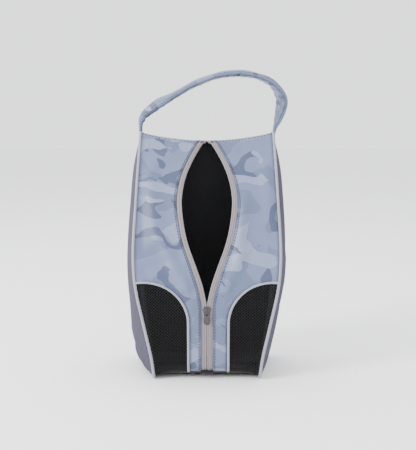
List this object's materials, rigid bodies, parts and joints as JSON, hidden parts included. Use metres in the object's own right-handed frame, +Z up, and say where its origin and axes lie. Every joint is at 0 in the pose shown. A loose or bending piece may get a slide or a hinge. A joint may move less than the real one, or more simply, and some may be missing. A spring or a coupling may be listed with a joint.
{
  "type": "golf shoe bag",
  "caption": "Soft padded shoe bag with mesh vents, a front zip that opens over the top ridge, and a padded strap handle.",
  "frame": {"origin": "on the underside of the flat base, in the bag's left-right middle plane", "axes": "+Z up, -Y towards the zipped front, +X to the right seen from the front"},
  "size_m": [0.2272, 0.1443, 0.4331],
  "materials": {
    "camouflage_cloth": "satin woven polyester, camouflage print",
    "side_cloth": "matt woven nylon",
    "piping": "ribbed piping",
    "foam": "open-cell foam sheet",
    "lining": "plain woven lining",
    "mesh": "open warp-knit mesh",
    "base_cloth": "coated nylon",
    "board": "stiff board",
    "zip_tape": "woven zip tape",
    "coil": "nylon coil",
    "metal": "dark plated zinc",
    "webbing": "woven webbing",
    "tab": "woven tab"
  },
  "bodies": {
    "bag": {"back_foam": "foam", "back_lining": "lining", "back_panel": "camouflage_cloth", "base_board": "board", "base_lining": "lining", "base_panel": "base_cloth", "front_foam_left": "foam", "front_foam_right": "foam", "front_lining_left": "lining", "front_lining_right": "lining", "front_panel_left": "camouflage_cloth", "front_panel_right": "camouflage_cloth", "handle_anchor_left": "webbing", "handle_anchor_right": "webbing", "mesh_panel_left": "mesh", "mesh_panel_right": "mesh", "mesh_piping_left": "piping", "mesh_piping_right": "piping", "seam_binding_left": "lining", "seam_binding_right": "lining", "side_foam_left": "foam", "side_foam_right": "foam", "side_lining_left": "lining", "side_lining_right": "lining", "side_panel_left": "side_cloth", "side_panel_right": "side_cloth", "side_piping_left": "piping", "side_piping_right": "piping", "zipper_bottom_stop": "metal", "zipper_chain_closed": "coil", "zipper_coil_left": "coil", "zipper_coil_right": "coil", "zipper_end_tab": "tab", "zipper_tape_left": "zip_tape", "zipper_tape_right": "zip_tape", "zipper_top_stop_left": "metal", "zipper_top_stop_right": "metal"},
    "slider": {"slider_body": "metal", "slider_bail": "metal"},
    "pull": {"pull_tab": "metal"},
    "handle": {"handle_cover": "camouflage_cloth", "handle_core": "foam"}
  },
  "joints": [
    {"name": "slider_slide", "type": "slide", "parent": "bag", "child": "slider", "axis": [0, -0.0926, 0.9957], "range_m": [-0.065, 0], "deforming": ["zipper_chain_closed"]},
    {"name": "pull_swing", "type": "hinge", "parent": "slider", "child": "pull", "pos_m": [0, -0.07081, 0.10062], "axis": [-1, 0, 0], "range_deg": [0, 170]},
    {"name": "handle_swing", "type": "hinge", "parent": "bag", "child": "handle", "pos_m": [0, 0.036, 0.347], "axis": [1, 0, 0], "range_deg": [-90, 90]}
  ]
}
